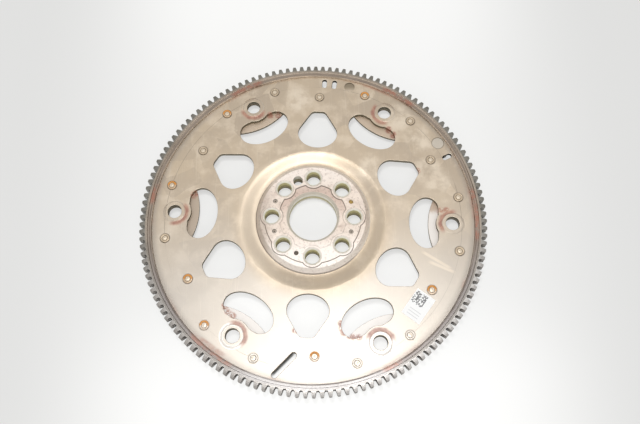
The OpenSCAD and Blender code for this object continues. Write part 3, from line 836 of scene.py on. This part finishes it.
def ring_tree():
    """Repeats one sector round the axis and welds the copies into a closed ring."""
    tree, given, result = new_tree("Toothed ring", [("Teeth", "NodeSocketInt"),
                                                    ("Material", "NodeSocketMaterial")])
    teeth = given.outputs["Teeth"]
    points = add_node(tree, "GeometryNodeMeshLine", Count=teeth, Offset=(0, 0, 0))
    share = add_math(tree, "DIVIDE", add_node(tree, "GeometryNodeInputIndex").outputs[0], teeth)
    spin = add_node(tree, "ShaderNodeCombineXYZ", Z=add_math(tree, "MULTIPLY", share, 2 * math.pi))
    copies = add_node(tree, "GeometryNodeInstanceOnPoints", Points=points.outputs["Mesh"],
                      Instance=given.outputs["Geometry"], Rotation=spin.outputs[0])
    real = add_node(tree, "GeometryNodeRealizeInstances", Geometry=copies.outputs[0])
    weld = add_node(tree, "GeometryNodeMergeByDistance", Geometry=real.outputs[0], Distance=5e-6)
    return painted(tree, given, result, weld.outputs[0])


def fastener_tree():
    """Puts a copy of a turned fastener on each point, with the point's own rust."""
    tree, given, result = new_tree("Fasteners", [("Fastener", "NodeSocketObject"),
                                                 ("Material", "NodeSocketMaterial")])
    shape = add_node(tree, "GeometryNodeObjectInfo", Object=given.outputs["Fastener"])
    copies = add_node(tree, "GeometryNodeInstanceOnPoints", Points=given.outputs["Geometry"],
                      Instance=shape.outputs["Geometry"])
    real = add_node(tree, "GeometryNodeRealizeInstances", Geometry=copies.outputs[0])
    return painted(tree, given, result, real.outputs[0])


def run_tree(obj, tree, **values):
    modifier = obj.modifiers.new(tree.name, "NODES")
    modifier.node_group = tree
    for item in tree.interface.items_tree:
        if item.in_out == "INPUT" and item.name in values:
            modifier[item.identifier] = values[item.name]


def place_fasteners(name, profile, places, rust, material):
    """Turned fasteners at the given places, as one mesh."""
    template = add_object(name + "_template", lathe(profile, 28))
    spot = template.data.attributes.new("spot", "FLOAT_VECTOR", "POINT")
    for place, vert in zip(spot.data, template.data.vertices):
        place.vector = vert.co
    points = bpy.data.meshes.new(name + "_points")
    points.from_pydata(places, [], [])
    given = points.attributes.new("rust", "FLOAT", "POINT")
    given.data.foreach_set("value", rust)
    obj = add_object(name + "_raw", points)
    run_tree(obj, fastener_tree(), Fastener=template, Material=material)
    done = settle(obj, name)
    bpy.data.objects.remove(template)
    smooth(done.data, 35)
    return done


# Operators, one for each piece or group of like pieces

class FLEXPLATE_OT_plate(bpy.types.Operator):
    """Dress the drive plate and the backing ring riveted under it"""
    bl_idname = "flexplate.plate"
    bl_label = "Plate"

    def execute(self, context):
        settings = context.scene.flexplate_plate
        material = plate_finish(settings)
        for node, name in (("drive_plate", "plate_sheet"), ("backing_ring", "backing_sheet")):
            hand_over(dressed_copy(node, name, settings.edge, material), node)
        return {"FINISHED"}


class FLEXPLATE_OT_gear(bpy.types.Operator):
    """Make the starter ring gear from one sector with one tooth"""
    bl_idname = "flexplate.gear"
    bl_label = "Ring gear"

    def execute(self, context):
        settings = context.scene.flexplate_gear
        raw = add_object("ring_gear_raw", gear_sector(settings.teeth))
        run_tree(raw, ring_tree(), Teeth=settings.teeth, Material=gear_finish(settings))
        gear = settle(raw, "toothed_ring")
        smooth(gear.data, 28)
        hand_over(gear, "ring_gear")
        return {"FINISHED"}


class FLEXPLATE_OT_hub(bpy.types.Operator):
    """Dress the hub disc and the spacer under it"""
    bl_idname = "flexplate.hub"
    bl_label = "Hub"

    def execute(self, context):
        settings = context.scene.flexplate_hub
        material = hub_finish(settings)
        for node, name in (("hub_disc", "hub_plate"), ("crank_spacer", "spacer_disc")):
            hand_over(dressed_copy(node, name, settings.edge, material), node)
        return {"FINISHED"}


class FLEXPLATE_OT_rivets(bpy.types.Operator):
    """Set the plate's rivets and the hub's pins"""
    bl_idname = "flexplate.rivets"
    bl_label = "Rivets and pins"

    def execute(self, context):
        settings = context.scene.flexplate_rivets
        material = rivet_finish(settings)
        head, dimple, edge = settings.head / 2, settings.dimple / 2, 0.35 * MM
        shank, seat = 2.8 * MM, PLATE_TOP - 0.2 * MM
        top, foot = PLATE_TOP + settings.head_h, BACKING_BOTTOM - settings.head_h
        profile = [(0, foot), (head - edge, foot), (head, foot + edge), (head, BACKING_BOTTOM),
                   (shank, BACKING_BOTTOM), (shank, seat), (head, seat),
                   (head, top - edge), (head - 0.3 * edge, top - 0.3 * edge), (head - edge, top),
                   (dimple + 0.15 * MM, top), (dimple, top - 0.1 * MM),
                   (dimple - 0.4 * MM, top - 0.5 * MM), (0.5 * MM, top - 0.5 * MM), (0, top - 0.3 * MM)]
        step = 360 / CONVERTER_COUNT
        bolts = [math.degrees(CONVERTER_TURN) + step * i for i in range(CONVERTER_COUNT)]
        turns = [a + s * math.degrees(RIVET_SPREAD) for a in bolts for s in (-1, 1)]
        inner = [a + step / 2 + (math.degrees(SHIFTED_RIVET_TURN) if i == SHIFTED_RIVET else 0)
                 for i, a in enumerate(bolts)]
        places = [polar(RIVET_R, math.radians(a)) for a in turns]
        places += [polar(INNER_RIVET_R, math.radians(a)) for a in inner]
        rust = [float(any(abs((a - b + 540) % 360 - 180) < 2 for b in RUSTY_RIVETS)) for a in turns + inner]
        rivets = place_fasteners("rivets", profile, places, rust, material)
        hand_over(rivets, "plate_rivets")

        pin_r, pin_top = 2 * MM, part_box("hub_pins")[1].z
        pin = [(0, 0), (pin_r - 0.2 * MM, 0), (pin_r, 0.2 * MM), (pin_r, pin_top - 0.3 * MM),
               (pin_r - 0.3 * MM, pin_top), (0, pin_top)]
        places = [polar(CRANK_R, math.radians(a)) for a in PIN_TURNS]
        pins = place_fasteners("pins", pin, places, [0.0] * len(places), pin_finish())
        hand_over(pins, "hub_pins")
        return {"FINISHED"}


class FLEXPLATE_OT_label(bpy.types.Operator):
    """Stick the label on the plate"""
    bl_idname = "flexplate.label"
    bl_label = "Label"

    def execute(self, context):
        settings = context.scene.flexplate_label
        centre = Vector((LABEL_PLACE[0] * MM, LABEL_PLACE[1] * MM, PLATE_TOP))
        glue, paper, curl = 0.06 * MM, 0.1 * MM, 0.25 * MM
        work = bmesh.new()
        bmesh.ops.create_grid(work, x_segments=12, y_segments=16, size=0.5)
        for vert in work.verts:
            u, v = vert.co.x, vert.co.y
            lift = curl * max(0.0, u + v - 0.82) / 0.18
            vert.co = (u * settings.width, v * settings.length, glue + lift)
        sheet = bmesh.ops.extrude_face_region(work, geom=work.faces[:])
        for item in sheet["geom"]:
            if isinstance(item, bmesh.types.BMVert):
                item.co.z += paper
        bmesh.ops.recalc_face_normals(work, faces=work.faces)
        work.transform(Matrix.Translation(centre) @ Matrix.Rotation(LABEL_TURN, 4, "Z"))
        mesh = mesh_of(work, "label")
        mesh.materials.append(label_finish(settings, centre))
        label = add_object("label", mesh)
        smooth(mesh, 30)
        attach(label, "root")
        return {"FINISHED"}


class FLEXPLATE_OT_stage(bpy.types.Operator):
    """Set the floor, the lights and the camera"""
    bl_idname = "flexplate.stage"
    bl_label = "Stage"

    def execute(self, context):
        scene = context.scene
        settings = scene.flexplate_stage
        scene.view_settings.view_transform = "Standard"
        floor = bpy.data.meshes.new("floor")
        corners = [(x * FLOOR_REACH, y * FLOOR_REACH, 0) for x, y in ((-1, -1), (1, -1), (1, 1), (-1, 1))]
        floor.from_pydata(corners, [], [(0, 1, 2, 3)])
        floor.materials.append(floor_finish(settings))
        add_object("floor", floor)
        self.sky(scene)
        self.lamp("key_light", (KEY_X, KEY_Y, KEY_Z), (KEY_X, KEY_Y, 0), KEY_SIZE, settings.key, True)
        self.lamp("back_light", (-0.15, 0.32, 1.6), (0, 0, 0), (0.2, 0.2), settings.back, False)
        self.lamp("front_light", (0.0, -0.75, 0.55), (0, 0, 0), (0.5, 0.3), settings.front, False)
        self.camera(scene, settings.lens)
        return {"FINISHED"}

    def sky(self, scene):
        """Soft room light, and a pale room for the camera and for the steel to mirror."""
        world = bpy.data.worlds.new("studio")
        world.use_nodes = True
        tree = world.node_tree
        tree.nodes.clear()
        way = add_node(tree, "ShaderNodeTexCoord").outputs["Generated"]
        height = add_node(tree, "ShaderNodeSeparateXYZ", Vector=way).outputs["Z"]
        level = add_node(tree, "ShaderNodeMapRange", Value=height, To_Min=0.70, To_Max=1.12)
        shown = add_node(tree, "ShaderNodeBackground", Strength=level.outputs[0])
        soft = add_node(tree, "ShaderNodeBackground", Strength=0.30)
        path = add_node(tree, "ShaderNodeLightPath")
        either = add_math(tree, "MAXIMUM", path.outputs["Is Camera Ray"], path.outputs["Is Glossy Ray"])
        pick = tree.nodes.new("ShaderNodeMixShader")
        for socket, value in zip(pick.inputs, (either, soft.outputs[0], shown.outputs[0])):
            feed(tree, socket, value)
        add_node(tree, "ShaderNodeOutputWorld", Surface=pick.outputs[0])
        scene.world = world

    def lamp(self, name, place, aim, size, power, mirrored):
        """A soft rectangular light; only a mirrored one shows in the steel."""
        data = bpy.data.lights.new(name, "AREA")
        data.shape = "RECTANGLE"
        data.size, data.size_y = size
        data.energy = power
        obj = add_object(name, data)
        obj.location = place
        obj.visible_glossy = mirrored
        obj.rotation_euler = (Vector(aim) - Vector(place)).to_track_quat("-Z", "Y").to_euler()

    def camera(self, scene, lens):
        """The photograph's view: it leans back and rolls a little, with a slightly shifted lens."""
        lean, roll = CAMERA_LEAN, CAMERA_ROLL
        right, up = Vector((1, 0, 0)), Vector((0, math.cos(lean), math.sin(lean)))
        back = Vector((0, -math.sin(lean), math.cos(lean)))
        across = math.cos(roll) * right + math.sin(roll) * up
        upward = math.cos(roll) * up - math.sin(roll) * right
        turn = Matrix((across, upward, back)).transposed()
        data = bpy.data.cameras.new("camera")
        data.sensor_width = SENSOR_WIDTH
        data.lens = lens
        data.shift_x, data.shift_y = CAMERA_SHIFT
        camera = add_object("camera", data)
        camera.matrix_world = Matrix.Translation(CAMERA_PLACE) @ turn.to_4x4()
        scene.camera = camera


class FLEXPLATE_PT_panel(bpy.types.Panel):
    """Lists the pieces and their settings"""
    bl_idname = "FLEXPLATE_PT_panel"
    bl_label = "Flexplate"
    bl_space_type = "VIEW_3D"
    bl_region_type = "UI"
    bl_category = "Flexplate"

    def draw(self, context):
        for operator, name, _ in PIECES:
            box = self.layout.box()
            box.operator(operator.bl_idname)
            settings = getattr(context.scene, name)
            for prop in settings.bl_rna.properties:
                if prop.identifier not in ("rna_type", "name"):
                    box.prop(settings, prop.identifier)


PIECES = (
    (FLEXPLATE_OT_plate, "flexplate_plate", PlateSettings),
    (FLEXPLATE_OT_gear, "flexplate_gear", GearSettings),
    (FLEXPLATE_OT_hub, "flexplate_hub", HubSettings),
    (FLEXPLATE_OT_rivets, "flexplate_rivets", RivetSettings),
    (FLEXPLATE_OT_label, "flexplate_label", LabelSettings),
    (FLEXPLATE_OT_stage, "flexplate_stage", StageSettings),
)


def register():
    for operator, name, group in PIECES:
        bpy.utils.register_class(group)
        setattr(bpy.types.Scene, name, bpy.props.PointerProperty(type=group))
        bpy.utils.register_class(operator)
    bpy.utils.register_class(FLEXPLATE_PT_panel)


def unregister():
    bpy.utils.unregister_class(FLEXPLATE_PT_panel)
    for operator, name, group in reversed(PIECES):
        bpy.utils.unregister_class(operator)
        delattr(bpy.types.Scene, name)
        bpy.utils.unregister_class(group)


def main():
    register()
    bpy.ops.flexplate.plate()
    bpy.ops.flexplate.gear()
    bpy.ops.flexplate.hub()
    bpy.ops.flexplate.rivets()
    bpy.ops.flexplate.label()
    bpy.ops.flexplate.stage()


if __name__ == "__main__":
    main()
